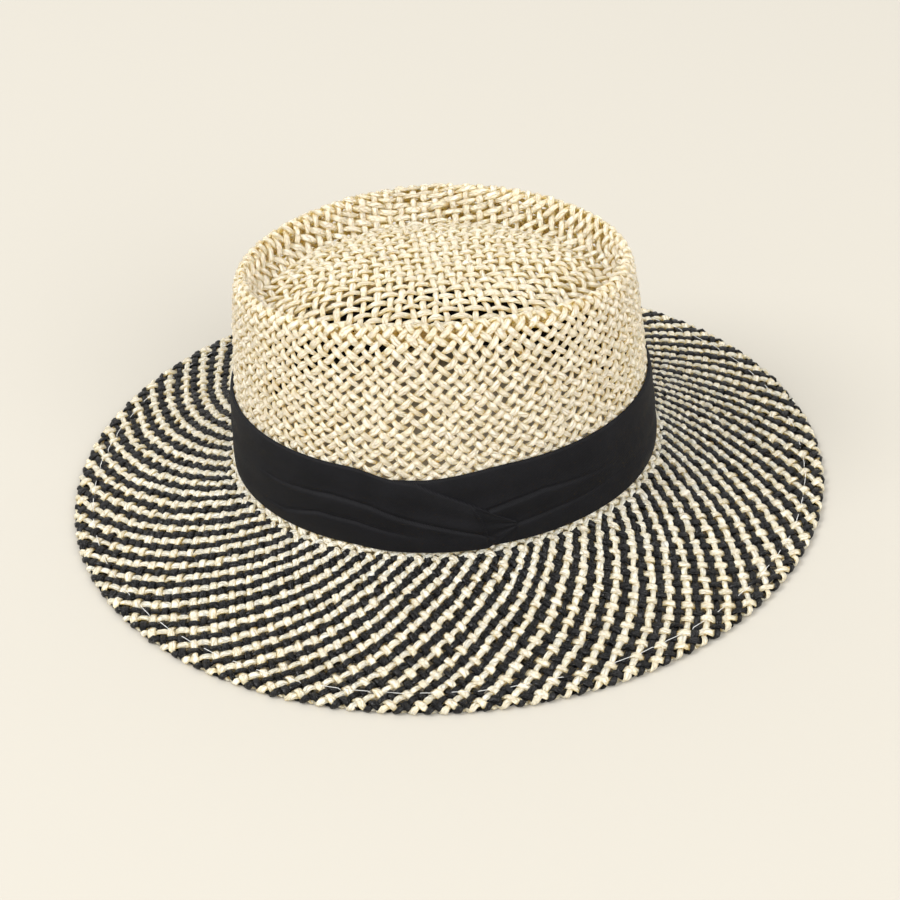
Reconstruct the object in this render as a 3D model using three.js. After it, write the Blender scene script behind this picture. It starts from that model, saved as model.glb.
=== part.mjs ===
// Straw hat: an oval telescope crown, a wide brim with a turned hem, a pleated band and a sweatband.
// Millimetres, +Z up. X runs front to back of the head, and the hem rests on z = 0.
import * as THREE from "three";

// Head opening, measured inside the sweatband.
const headLength = 194;
const headWidth = 162;

// Layers of the wall, and the gap kept between two layers.
const strawThickness = 1.8;
const sweatThickness = 1.0;
const clothThickness = 1.3;
const pleatDepth = 1.1;
const layerGap = 0.3;

// Heights. The opening is where the wall of the crown turns out into the brim.
const openingHeight = 20.5;
const crownHeight = 103.5;
const ridgeDrop = 5.8;
const bandHeight = 41;
const sweatHeight = 34;

// Brim, measured out from the foot of the wall.
const brimWidth = 82;
const hemWidth = 9;
const brimCurve = 1.6;

// Crossing of the hat band, as distances along the front wall from the middle of the hat.
const crossingDip = 4;
const crossingStart = -22;
const crossingNotch = -12;
const crossingFold = 12;
const crossingFoot = 18;
const crossingTip = 31.5;
const bandPleats = 3;

// End of the hat band past the crossing: height of its tip, and where the fold above it and the tip's middle lie
// as shares of the band's height.
const tipHeight = 3;
const foldShare = 0.6;
const tipShare = 0.26;

// Facets round the hat and along a profile.
const roundSteps = 56;
const bandSteps = 104;
const profileSteps = 2;
const sheetSteps = 7;
const hemRoundSteps = 4;

const hemThickness = 2 * strawThickness;
const openingHalfLength = headLength / 2 + sweatThickness + layerGap;
const openingHalfWidth = headWidth / 2 + sweatThickness + layerGap;
const footHalfLength = openingHalfLength + strawThickness;
const footHalfWidth = openingHalfWidth + strawThickness;
const crownFoot = openingHeight + layerGap;

// Outer profile of the crown from its foot to the middle of the tip. Length and width are shares of the foot's
// half length and half width, height is a share of the crown's height, and drop is the share of ridgeDrop by
// which the two ends of the oval lie lower than its sides.
const crownSections = [
  { name: "foot", length: 1.0, width: 1.0, height: 0.0, drop: 0.0 },
  { name: "lower wall", length: 0.986, width: 0.984, height: 0.2, drop: 0.0 },
  { name: "band top", length: 0.965, width: 0.957, height: 0.4, drop: 0.0 },
  { name: "upper wall", length: 0.936, width: 0.882, height: 0.67, drop: 0.15 },
  { name: "shoulder", length: 0.912, width: 0.805, height: 0.885, drop: 0.7 },
  { name: "outer roll", length: 0.896, width: 0.764, height: 0.968, drop: 0.95 },
  { name: "ridge", length: 0.866, width: 0.724, height: 1.0, drop: 1.0 },
  { name: "inner roll", length: 0.834, width: 0.684, height: 0.972, drop: 1.0 },
  { name: "inner wall", length: 0.8, width: 0.648, height: 0.908, drop: 0.85 },
  { name: "channel", length: 0.752, width: 0.598, height: 0.862, drop: 0.45 },
  { name: "tip edge", length: 0.685, width: 0.54, height: 0.876, drop: 0.3 },
  { name: "tip shoulder", length: 0.56, width: 0.43, height: 0.908, drop: 0.1 },
  { name: "tip", length: 0.33, width: 0.25, height: 0.935, drop: 0.0 },
  { name: "middle", length: 0.0, width: 0.0, height: 0.945, drop: 0.0 },
];

// Smooth curves through the rows of the crown's table.
const crownCurve = new THREE.CatmullRomCurve3(
  crownSections.map((row) => new THREE.Vector3(row.length, row.width, row.height)),
  false,
  "catmullrom",
);
const dropCurve = new THREE.CatmullRomCurve3(
  crownSections.map((row) => new THREE.Vector3(row.drop, 0, 0)),
  false,
  "catmullrom",
);

// A point of the crown's outer surface, at a share of the way from foot to middle and an angle round the oval.
function crownPoint(along, angle) {
  const share = crownCurve.getPoint(along);
  const drop = dropCurve.getPoint(along).x * ridgeDrop * Math.cos(angle) ** 2;
  return new THREE.Vector3(
    footHalfLength * share.x * Math.cos(angle),
    footHalfWidth * share.y * Math.sin(angle),
    crownFoot + crownHeight * share.z - drop,
  );
}

// The outward normal of the crown's outer surface, from small steps along and round it.
function crownNormal(along, angle) {
  const step = 1e-3;
  const before = Math.max(along - step, 0);
  const after = Math.min(along + step, 1 - step);
  const slope = crownPoint(after, angle).sub(crownPoint(before, angle));
  const turn = crownPoint(along, angle + step).sub(crownPoint(along, angle - step));
  return turn.cross(slope).normalize();
}

// The wall's outer half sizes at a height, as shares of the foot's. They come from halving, over and over, the
// part of the curve that climbs the wall.
function wallShares(height) {
  const target = (height - crownFoot) / crownHeight;
  const halvings = 24;
  let low = 0;
  let high = 0.4;
  for (let i = 0; i < halvings; i += 1) {
    const middle = (low + high) / 2;
    if (crownCurve.getPoint(middle).z < target) low = middle;
    else high = middle;
  }
  return crownCurve.getPoint(low);
}

// A point at a level height and a distance out from the wall's outer face, square to the oval.
function wallPoint(angle, height, out) {
  const share = wallShares(height);
  const halfLength = footHalfLength * share.x;
  const halfWidth = footHalfWidth * share.y;
  const normal = new THREE.Vector3(Math.cos(angle) / halfLength, Math.sin(angle) / halfWidth, 0).normalize();
  const point = new THREE.Vector3(halfLength * Math.cos(angle), halfWidth * Math.sin(angle), height);
  return point.addScaledVector(normal, out);
}

// A closed geometry from points and faces, turned so that its faces point out.
function solidGeometry(points, faces) {
  let volume = 0;
  for (const [a, b, c] of faces) {
    volume += points[a].dot(points[b].clone().cross(points[c]));
  }
  const ordered = volume > 0 ? faces : faces.map(([a, b, c]) => [a, c, b]);
  const geometry = new THREE.BufferGeometry().setFromPoints(points);
  geometry.setIndex(ordered.flat());
  geometry.computeVertexNormals();
  return geometry;
}

// Faces between two loops of the same number of points, whose first points have the given numbers.
function loopFaces(first, second, count) {
  const faces = [];
  for (let i = 0; i < count; i += 1) {
    const next = (i + 1) % count;
    faces.push([first + i, second + i, second + next], [first + i, second + next, first + next]);
  }
  return faces;
}

// A ring swept round the hat from a closed section given at each angle.
function ringGeometry(sectionAt, steps) {
  const sections = Array.from({ length: steps }, (_, i) => sectionAt((2 * Math.PI * i) / steps));
  const count = sections[0].length;
  const faces = sections.flatMap((_, i) => loopFaces(i * count, ((i + 1) % steps) * count, count));
  return solidGeometry(sections.flat(), faces);
}

// A strip swept between two closed sections, with both ends capped.
function stripGeometry(sections) {
  const count = sections[0].length;
  const points = sections.flat();
  const faces = [];
  for (let i = 0; i < sections.length - 1; i += 1) {
    faces.push(...loopFaces(i * count, (i + 1) * count, count));
  }
  for (const [row, reverse] of [[0, false], [sections.length - 1, true]]) {
    const middle = new THREE.Vector3();
    sections[row].forEach((point) => middle.addScaledVector(point, 1 / count));
    const centre = points.push(middle) - 1;
    for (let i = 0; i < count; i += 1) {
      const here = row * count + i;
      const next = row * count + ((i + 1) % count);
      faces.push(reverse ? [centre, next, here] : [centre, here, next]);
    }
  }
  return solidGeometry(points, faces);
}

// Crown: the outer surface and the same surface one straw thickness inside it, joined round the foot.
function crownGeometry() {
  const rows = profileSteps * (crownSections.length - 1);
  const points = [];
  const faces = [];
  for (const depth of [0, strawThickness]) {
    for (let row = 0; row < rows; row += 1) {
      for (let i = 0; i < roundSteps; i += 1) {
        const angle = (2 * Math.PI * i) / roundSteps;
        const along = row / rows;
        const point = crownPoint(along, angle).addScaledVector(crownNormal(along, angle), -depth);
        if (row === 0) point.z = crownFoot;
        points.push(point);
      }
    }
    points.push(new THREE.Vector3(0, 0, crownPoint(1, 0).z - depth));
  }
  const layer = rows * roundSteps + 1;
  for (let row = 0; row < rows - 1; row += 1) {
    const start = row * roundSteps;
    faces.push(...loopFaces(start, start + roundSteps, roundSteps).map(([a, b, c]) => [a, c, b]));
    faces.push(...loopFaces(layer + start, layer + start + roundSteps, roundSteps));
  }
  const last = (rows - 1) * roundSteps;
  for (let i = 0; i < roundSteps; i += 1) {
    const next = (i + 1) % roundSteps;
    faces.push([last + i, last + next, layer - 1]);
    faces.push([layer + last + next, layer + last + i, 2 * layer - 1]);
  }
  faces.push(...loopFaces(0, layer, roundSteps));
  return solidGeometry(points, faces);
}

// Height of the brim's upper face at a distance out from the foot of the wall.
function brimTop(out) {
  const share = Math.min(Math.max(out / (brimWidth - hemWidth), 0), 1);
  return hemThickness + (openingHeight - hemThickness) * (1 - share) ** brimCurve;
}

// Brim: a sheet that falls away from the opening and lies flat at its hem, which is turned under.
function brimSection(angle) {
  const place = (out, height) => new THREE.Vector3(
    (footHalfLength + out) * Math.cos(angle),
    (footHalfWidth + out) * Math.sin(angle),
    height,
  );
  const hemStart = brimWidth - hemWidth;
  const hemRadius = hemThickness / 2;
  const outs = Array.from({ length: sheetSteps + 1 }, (_, i) => (hemStart * i) / sheetSteps);
  const section = [place(-strawThickness, openingHeight)];
  outs.forEach((out) => section.push(place(out, brimTop(out))));
  for (let i = 0; i <= hemRoundSteps; i += 1) {
    const turn = Math.PI * (0.5 - i / hemRoundSteps);
    const out = brimWidth - hemRadius + hemRadius * Math.cos(turn);
    section.push(place(out, hemRadius + hemRadius * Math.sin(turn)));
  }
  section.push(place(hemStart, 0));
  outs.reverse().forEach((out) => section.push(place(out, brimTop(out) - strawThickness)));
  section.push(place(-strawThickness, openingHeight - strawThickness));
  return section;
}

// Sweatband: a strip that stands on the edge of the opening, inside the wall.
function sweatSection(angle) {
  const foot = openingHeight - strawThickness;
  const heights = [crownFoot, crownFoot + sweatHeight / 2, foot + sweatHeight];
  const outer = heights.map((height) => wallPoint(angle, height, -strawThickness - layerGap));
  const inner = heights.map((height) => wallPoint(angle, height, -strawThickness - layerGap - sweatThickness));
  const outerFoot = outer[0].clone().setZ(foot);
  const innerFoot = inner[0].clone().setZ(foot);
  return [outerFoot, ...outer, ...inner.reverse(), innerFoot];
}

// A value that eases from one to another while x runs from start to end.
function ease(x, start, end, from, to) {
  return from + (to - from) * THREE.MathUtils.smoothstep(x, start, end);
}

// A value that goes straight from one to another while x runs from start to end.
function ramp(x, start, end, from, to) {
  return from + (to - from) * THREE.MathUtils.clamp((x - start) / (end - start), 0, 1);
}

// Hat band: a strip that starts under the crossing, runs once round the wall and ends over its own start.
function bandSection(along) {
  const angleAt = (x) => -Math.PI / 2 + Math.asin(x / footHalfLength);
  const startAngle = angleAt(crossingStart);
  const endAngle = angleAt(crossingTip) + 2 * Math.PI;
  const angle = startAngle + (endAngle - startAngle) * along;
  const isStart = along < 0.5;
  const frontAngle = isStart ? angle : angle - 2 * Math.PI;
  const x = footHalfLength * (frontAngle + Math.PI / 2);
  const liftStart = 2 * crossingStart;
  const over = isStart ? 0 : ease(x, liftStart, crossingStart, 0, clothThickness + layerGap);
  const foot = crownFoot;
  const top = crownFoot + bandHeight;
  let topEdge = ease(x, crossingNotch, crossingTip, top - crossingDip, top);
  let footEdge = foot;
  let pleat = ease(x, crossingFoot, crossingTip, 0, 1);
  if (!isStart) {
    const foldHeight = foot + foldShare * bandHeight;
    const tipMiddle = foot + tipShare * bandHeight;
    topEdge = ease(x, liftStart, crossingNotch, top, top - crossingDip);
    topEdge = ramp(x, crossingNotch, crossingFold, topEdge, foldHeight);
    topEdge = ramp(x, crossingFold, crossingTip, topEdge, tipMiddle + tipHeight / 2);
    footEdge = ramp(x, crossingFoot, crossingTip, foot, tipMiddle - tipHeight / 2);
    pleat = ease(x, crossingFold, crossingFoot, 1, 0);
  }
  const outerSteps = 2 * bandPleats;
  const section = [];
  for (let i = 0; i <= outerSteps; i += 1) {
    const share = i / outerSteps;
    const bulge = pleatDepth * pleat * (i % 2);
    const height = footEdge + (topEdge - footEdge) * share;
    section.push(wallPoint(angle, height, layerGap + over + clothThickness + bulge));
  }
  for (const share of [1, 0.5, 0]) {
    section.push(wallPoint(angle, footEdge + (topEdge - footEdge) * share, layerGap + over));
  }
  return section;
}

// Finishes.
const naturalStraw = new THREE.MeshStandardMaterial({ color: 0xe8d9b4, roughness: 0.8, metalness: 0 });
const twoToneStraw = new THREE.MeshStandardMaterial({ color: 0x8c8474, roughness: 0.8, metalness: 0 });
const blackTwill = new THREE.MeshStandardMaterial({ color: 0x1c1c20, roughness: 0.85, metalness: 0 });
const blackTape = new THREE.MeshStandardMaterial({ color: 0x141416, roughness: 0.9, metalness: 0 });

function piece(name, geometry, material) {
  const mesh = new THREE.Mesh(geometry, material);
  mesh.name = name;
  return mesh;
}

const bandSections = Array.from({ length: bandSteps + 1 }, (_, i) => bandSection(i / bandSteps));

const hat = new THREE.Group();
hat.add(piece("crown", crownGeometry(), naturalStraw));
hat.add(piece("brim", ringGeometry(brimSection, roundSteps), twoToneStraw));
hat.add(piece("hat_band", stripGeometry(bandSections), blackTwill));
hat.add(piece("sweatband", ringGeometry(sweatSection, roundSteps), blackTape));

export default hat;
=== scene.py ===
# Looks of the straw hat: every strand of its weave, the pleated band, the sweatband and the hem's stitches.
import math
import bmesh
import bpy
import numpy as np
from mathutils import Matrix, Vector


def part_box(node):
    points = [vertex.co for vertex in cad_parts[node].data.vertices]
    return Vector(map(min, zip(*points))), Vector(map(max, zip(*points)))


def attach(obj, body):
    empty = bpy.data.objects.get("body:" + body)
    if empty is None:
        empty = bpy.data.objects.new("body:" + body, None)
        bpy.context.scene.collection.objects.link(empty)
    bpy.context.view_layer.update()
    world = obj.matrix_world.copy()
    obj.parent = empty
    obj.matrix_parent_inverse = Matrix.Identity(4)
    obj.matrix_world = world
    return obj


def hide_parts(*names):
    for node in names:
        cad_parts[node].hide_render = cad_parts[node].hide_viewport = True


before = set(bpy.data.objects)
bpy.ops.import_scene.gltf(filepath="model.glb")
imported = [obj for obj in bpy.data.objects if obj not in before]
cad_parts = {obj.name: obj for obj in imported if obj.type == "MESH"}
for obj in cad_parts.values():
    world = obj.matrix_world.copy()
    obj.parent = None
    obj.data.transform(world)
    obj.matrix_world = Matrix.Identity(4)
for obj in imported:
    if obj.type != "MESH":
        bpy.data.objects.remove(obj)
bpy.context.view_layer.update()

MM = 0.001
rng = np.random.default_rng(7)

# Sizes of the solids that the strands and cloth follow, from the frame.
CROWN_LOW, CROWN_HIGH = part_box("crown")
BRIM_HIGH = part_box("brim")[1]
BAND_LOW, BAND_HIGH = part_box("hat_band")
SWEAT_LOW, SWEAT_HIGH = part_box("sweatband")
FOOT_LENGTH = CROWN_HIGH.x
FOOT_WIDTH = CROWN_HIGH.y
CROWN_FOOT = CROWN_LOW.z
CROWN_HEIGHT = CROWN_HIGH.z - CROWN_LOW.z
OPENING_HEIGHT = BRIM_HIGH.z
BRIM_WIDTH = BRIM_HIGH.x - FOOT_LENGTH

# Sizes that the solids are made with.
STRAW_THICKNESS = 1.8 * MM
LAYER_GAP = 0.3 * MM
HEM_WIDTH = 9 * MM
BRIM_CURVE = 1.6
RIDGE_DROP = 5.8 * MM

# Outer profile of the crown: half length and half width as shares of the foot's, height as a share of the
# crown's, and drop as the share of RIDGE_DROP by which the oval's two ends lie lower.
CROWN_SECTIONS = [
    # length, width, height, drop
    (1.0, 1.0, 0.0, 0.0),
    (0.986, 0.984, 0.2, 0.0),
    (0.965, 0.957, 0.4, 0.0),
    (0.936, 0.882, 0.67, 0.15),
    (0.912, 0.805, 0.885, 0.7),
    (0.896, 0.764, 0.968, 0.95),
    (0.866, 0.724, 1.0, 1.0),
    (0.834, 0.684, 0.972, 1.0),
    (0.8, 0.648, 0.908, 0.85),
    (0.752, 0.598, 0.862, 0.45),
    (0.685, 0.54, 0.876, 0.3),
    (0.56, 0.43, 0.908, 0.1),
    (0.33, 0.25, 0.935, 0.0),
    (0.0, 0.0, 0.945, 0.0),
]
RIDGE_ROW = 6

# Weave: strands of each of the two directions round the crown, crossings from the middle of the tip to the
# ridge, where the black strands begin out on the brim, the side of a cell of the crown, the step out from one
# row of crossings of the brim to the next, and the share of a turn by which the whole weave is turned.
CROWN_STRANDS = 80
TIP_LEVELS = CROWN_STRANDS / 4
RING_OUT = 6.6 * MM
CROWN_CELL = 4.4 * MM
BRIM_STEP = 2.9 * MM
WEAVE_TURN = 0.012

# One strand: its section, how far it rises over and dips under the others, the share of its width that the
# strands along the stripes have, and the share of the space between two strands that it fills at most. A
# section power under 1 makes the section squarer than an ellipse, and a higher flatness its crests flatter.
STRAND_THICKNESS = 1.35 * MM
STRAND_LIFT = 0.62 * MM
CROWN_STRAND_WIDTH = 2.7 * MM
BRIM_STRAND_WIDTH = 3.15 * MM
TIGHT_SHARE = 0.86
STRAND_FILL = 0.88
STRAND_SIDES = 6
SECTION_POWER = 0.65
CREST_FLATNESS = 2
SAMPLES_PER_CROSSING = 4

# Unevenness: a strand's drift to the side over short and long stretches, its drift in height, the shares by
# which its width, thickness and section vary, its shade and roll, and the sway of the whole weave.
SHORT_DRIFT = 0.3 * MM
LONG_DRIFT = 0.26 * MM
HEIGHT_DRIFT = 0.08 * MM
WIDTH_CHANGE = 0.12
THICKNESS_CHANGE = 0.08
SECTION_CRUMPLE = 0.09
STRAND_SHADE = 0.35
SHADE_CHANGE = 0.4
ROLL_CHANGE = 0.2
SWAY = 0.55 * MM

# Spacing of the tip's strands along and across the oval, from its middle to the ridge, as (share of the way,
# spacing beside the mean), and how many strands the net of the tip reaches each way.
TIP_SPACING_LONG = [(0, 0.45), (0.5, 0.65), (1, 1.8)]
TIP_SPACING_WIDE = [(0, 1.3), (0.35, 1.25), (1, 0.45)]
NET_REACH = 24

# Band and sweatband: how thick the band's cloth is, how far it lies off the wall, its flat size, the soft
# pleats and the rows of points across it, and how thick the sweatband is.
CLOTH_THICKNESS = 1.3 * MM
BAND_LIFT = 0.7 * MM
BAND_PLEATS = 3
BAND_ROWS = 72
SWEAT_THICKNESS = 1.0 * MM

# Crossing of the hat band, as distances along the front wall from the middle of the hat, and heights as
# shares of the band's.
CROSSING_DIP = 4 * MM
CROSSING_START = -22 * MM
CROSSING_NOTCH = -12 * MM
CROSSING_FOLD = 12 * MM
CROSSING_FOOT = 18 * MM
CROSSING_TIP = 31.5 * MM
FOLD_SHARE = 0.6
TIP_SHARE = 0.26
TIP_HEIGHT = 3 * MM

# Relief of the band: the groove of a crease and the pleats above and below it, the fold's seam and the step
# past it, the roundness of the edges, and the soft pleats and waves of the cloth.
GROOVE_DEPTH = 0.8 * MM
GROOVE_WIDTH = 0.7 * MM
PLEAT_BELOW = 1.3 * MM
PLEAT_ABOVE = 0.3 * MM
PLEAT_REACH = 6 * MM
SEAM_RISE = 0.7 * MM
SEAM_WIDTH = 0.6 * MM
SEAM_STEP_WIDTH = 0.9 * MM
CLOTH_EDGE = 0.8 * MM
SOFT_PLEAT = 0.35 * MM
CLOTH_WAVE = 0.12 * MM

# Creases of the band on each side of the crossing: distance in millimetres, height as a share of the band's,
# and how sharp the crease is there.
LEFT_CREASES = [
    [
        (-105, 0.55, 0), (-80, 0.56, 0.5), (-52, 0.615, 1), (-32, 0.57, 1),
        (-1, 0.34, 1), (16, 0.2, 0.5), (24, 0.1, 0),
    ],
    [(-105, 0.2, 0), (-80, 0.2, 0.4), (-60, 0.34, 1), (-40, 0.33, 0.9), (-22, 0.27, 0.4), (-8, 0.2, 0)],
]
RIGHT_CREASES = [
    [(17, 0.48, 0.9), (30, 0.55, 1), (45, 0.6, 0.8), (70, 0.55, 0.4), (95, 0.5, 0)],
    [(31.5, 0.25, 0.7), (50, 0.3, 0.5), (80, 0.33, 0.3), (110, 0.35, 0)],
]
# Seam across the crossing's fold: distance and height in millimetres.
FOLD_SEAM = [(18, 0), (18, 2.6), (17.3, 9.5), (15.5, 16.5), (12.5, 23.5), (9.3, 29)]

# Stitches: how thick the thread is, how many go round the hat, how far a stitch of the hem strays, and the
# share of its place that a stitch takes.
HEM_THREAD = 0.26 * MM
HEM_STITCHES = 72
HEM_STITCH_SHARES = (0.5, 0.75)
HEM_STITCH_STRAY = 0.4 * MM
SWEAT_THREAD = 0.6 * MM
SWEAT_STITCHES = 116
SWEAT_STITCH_SHARE = 0.62
SWEAT_STITCH_RISE = 0.2 * MM
SWEAT_SEAM_HEIGHT = 4 * MM
THREAD_SIDES = 5
STITCH_SAMPLES = 9

# Camera, fitted to the photo's outlines.
CAMERA_DISTANCE = 0.8237
CAMERA_ELEVATION = 37.3
CAMERA_AZIMUTH = 1.5
CAMERA_ROLL = 3.88
CAMERA_SIDE_SHIFT = 2.1 * MM
CAMERA_RISE = 9.1 * MM
SENSOR_WIDTH = 36
LENS = 66.9

# Round floor, which ends where both lights still reach it, and the light all round.
FLOOR_RADIUS = 4.5
FLOOR_SIDES = 128
FLOOR_COLOUR = (0.405, 0.386, 0.345)
WORLD_COLOUR = (1, 0.985, 0.96)
WORLD_STRENGTH = 1.2
LIGHT_AIM_HEIGHT = 0.05


def smooth_rows(rows, steps):
    """Smooth curve through rows of numbers, evenly sampled between each two rows."""
    rows = np.array(rows, float)
    padded = np.vstack([2 * rows[0] - rows[1], rows, 2 * rows[-1] - rows[-2]])
    t = (np.arange(steps) / steps)[:, None]
    parts = []
    for before, here, after, beyond in zip(padded[:-3], padded[1:-2], padded[2:-1], padded[3:]):
        start_slope = (after - before) / 2
        end_slope = (beyond - here) / 2
        parts.append(
            here
            + start_slope * t
            + (3 * (after - here) - 2 * start_slope - end_slope) * t**2
            + (2 * (here - after) + start_slope + end_slope) * t**3
        )
    return np.vstack(parts + [rows[-1:]])


# The crown's outer profile as rows of half length, half width, height and drop, from the foot to the middle.
PROFILE_STEPS = 60
crown_rows = smooth_rows(CROWN_SECTIONS, PROFILE_STEPS)
crown_rows = crown_rows * [FOOT_LENGTH, FOOT_WIDTH, CROWN_HEIGHT, RIDGE_DROP] + [0, 0, CROWN_FOOT, 0]


def brim_top(out):
    """Height of the brim's upper face at a distance out from the foot of the wall."""
    share = np.clip(out / (BRIM_WIDTH - HEM_WIDTH), 0, 1)
    hem = 2 * STRAW_THICKNESS
    return hem + (OPENING_HEIGHT - hem) * (1 - share) ** BRIM_CURVE


def brim_rows():
    """Middle of the brim's straw, out from the wall, round the fold of the hem and back under it."""
    lift = 0.3 * MM
    step = 0.5 * MM
    fold = STRAW_THICKNESS / 2
    outs = np.arange(step, BRIM_WIDTH - 2 * fold, step)
    heights = brim_top(outs) - fold + lift
    turns = np.linspace(0, math.pi, 9)[1:]
    edge = outs[-1]
    outs = np.concatenate([outs, edge + fold * np.sin(turns)])
    heights = np.concatenate([heights, heights[-1] - fold + fold * np.cos(turns)])
    back = np.arange(edge - step, BRIM_WIDTH - HEM_WIDTH, -step)
    outs = np.concatenate([outs, back])
    heights = np.concatenate([heights, np.full(len(back), heights[-1])])
    return np.stack([FOOT_LENGTH + outs, FOOT_WIDTH + outs, heights, 0 * outs], 1)


def meridian():
    """The whole hat's profile from the middle of the tip to the hem's turned end, evenly spaced, and softer
    at the foot of the wall."""
    station_step = 0.25 * MM
    soft_reach = 7 * MM
    kernel_half = 13
    inward = crown_rows[::-1].copy()
    step = np.gradient(inward[:, :3], axis=0)
    across = np.hypot(step[:, 0], step[:, 2])
    inward[:, 0] -= STRAW_THICKNESS / 2 * -step[:, 2] / across
    inward[:, 1] -= STRAW_THICKNESS / 2 * -step[:, 2] / across
    inward[:, 2] -= STRAW_THICKNESS / 2 * step[:, 0] / across
    inward[0, :2] = 0
    rows = np.vstack([inward, brim_rows()])
    mean = np.stack([(rows[:, 0] + rows[:, 1]) / 2, rows[:, 2]], 1)
    length = np.concatenate([[0], np.cumsum(np.hypot(*np.diff(mean, axis=0).T))])
    ridge = length[len(inward) - 1 - RIDGE_ROW * PROFILE_STEPS]
    foot = length[len(inward) - 1]
    even = np.arange(0, length[-1], station_step)
    rows = np.stack([np.interp(even, length, rows[:, i]) for i in range(4)], 1)
    near_foot = np.exp(-(((even - foot) / soft_reach) ** 2))[:, None]
    kernel = np.hanning(2 * kernel_half + 1)
    kernel /= kernel.sum()
    padded = np.pad(rows, ((kernel_half, kernel_half), (0, 0)), "edge")
    soft = np.stack([np.convolve(padded[:, i], kernel, "valid") for i in range(4)], 1)
    return even, rows + (soft - rows) * near_foot, ridge, foot


STATIONS, PROFILE, RIDGE_STATION, FOOT_STATION = meridian()
RING_STATION = FOOT_STATION + RING_OUT


def oval_angles():
    """Angles that share the foot's oval into equal lengths, as a table from turn to angle."""
    angles = np.linspace(0, 2 * math.pi, 2881)
    points = np.stack([FOOT_LENGTH * np.cos(angles), FOOT_WIDTH * np.sin(angles)], 1)
    length = np.concatenate([[0], np.cumsum(np.hypot(*np.diff(points, axis=0).T))])
    return length / length[-1], angles


OVAL_TURNS, OVAL_ANGLES = oval_angles()


def turn_to_angle(turn):
    """The oval's angle at a share of its length, for any number of turns."""
    whole = np.floor(turn)
    return np.interp(turn - whole, OVAL_TURNS, OVAL_ANGLES) + 2 * math.pi * whole


def surface(station, angle):
    """A point in the middle of the straw."""
    rows = [np.interp(station, STATIONS, PROFILE[:, i]) for i in range(4)]
    x = rows[0] * np.cos(angle)
    y = rows[1] * np.sin(angle)
    return np.stack([x, y, rows[2] - rows[3] * np.cos(angle) ** 2], -1)


def unit(vectors):
    return vectors / np.maximum(np.linalg.norm(vectors, axis=-1, keepdims=True), 1e-12)


def surface_normal(station, angle):
    least_station = 2 * MM
    station = np.maximum(station, least_station)
    step = 0.4 * MM
    turn = 0.01
    along = surface(station + step, angle) - surface(station - step, angle)
    around = surface(station, angle + turn) - surface(station, angle - turn)
    return unit(np.cross(along, around))


def circumference(station):
    """Length once round the hat at a station, near enough for an oval."""
    a = np.interp(station, STATIONS, PROFILE[:, 0])
    b = np.interp(station, STATIONS, PROFILE[:, 1])
    return 2 * math.pi * np.sqrt((a**2 + b**2) / 2)


def crown_level_stations(cell):
    """Stations of the crossings down the wall from the ridge, each cell of the weave with the same side."""
    past_ring = 20 * MM
    least_step = 0.4 * cell
    found = [RIDGE_STATION]
    while found[-1] < RING_STATION + past_ring:
        half = circumference(found[-1]) / CROWN_STRANDS / 2
        found.append(found[-1] + math.sqrt(max(cell**2 - half**2, least_step**2)))
    return np.array(found)


def fit_crown_cell():
    """The cell side with which a whole number of levels ends at the ring, and that number."""
    wanted = np.searchsorted(crown_level_stations(CROWN_CELL), RING_STATION)
    wanted += (wanted + int(TIP_LEVELS)) % 2
    low, high = 0.8 * CROWN_CELL, 1.2 * CROWN_CELL
    for _ in range(40):
        middle = (low + high) / 2
        if crown_level_stations(middle)[wanted] < RING_STATION:
            low = middle
        else:
            high = middle
    return crown_level_stations(middle), wanted


# Levels count the crossings outwards from the middle of the tip, and each has its station on the profile.
wall_stations, WALL_LEVELS = fit_crown_cell()
RING_LEVEL = TIP_LEVELS + WALL_LEVELS
brim_stations = np.arange(RING_STATION, STATIONS[-1], BRIM_STEP)
LAST_LEVEL = RING_LEVEL + len(brim_stations) - 1
LEVELS = np.concatenate([
    TIP_LEVELS + np.arange(WALL_LEVELS),
    RING_LEVEL + np.arange(len(brim_stations)),
])
LEVEL_STATIONS = np.concatenate([wall_stations[:WALL_LEVELS], brim_stations])
FOOT_LEVEL = np.interp(FOOT_STATION, LEVEL_STATIONS, LEVELS)


def smoothstep(x):
    x = np.clip(x, 0, 1)
    return x * x * (3 - 2 * x)


def sway(station, turn):
    """Slow unevenness of a hand-made weave: how far the strands drift along and round the hat."""
    angle = 2 * math.pi * turn
    down = station / (37 * MM)
    fade = smoothstep(station / (30 * MM))
    along = np.sin(3 * angle + 1.7 * down) + 0.7 * np.sin(8 * angle - 2.3 * down + 1)
    along += 0.5 * np.sin(19 * angle + 4 * down)
    around = np.sin(5 * angle - 1.3 * down + 2) + 0.7 * np.sin(11 * angle + 2.1 * down)
    around += 0.4 * np.sin(23 * angle - 3 * down)
    near_hem = 1 - smoothstep((station - STATIONS[-1] + 30 * MM) / (12 * MM))
    return SWAY * along * fade * near_hem, SWAY * around * fade


def place(station, turn, angle=None):
    """A point of the weave and its normal there, with the weave's own unevenness."""
    least_radius = 12 * MM
    drift_along, drift_around = sway(station, turn)
    angle = turn_to_angle(turn + WEAVE_TURN) if angle is None else angle
    radius = circumference(station) / (2 * math.pi)
    angle = angle + drift_around / np.maximum(radius, least_radius)
    station = np.clip(station + drift_along, 0, STATIONS[-1])
    return surface(station, angle), surface_normal(station, angle)


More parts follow.
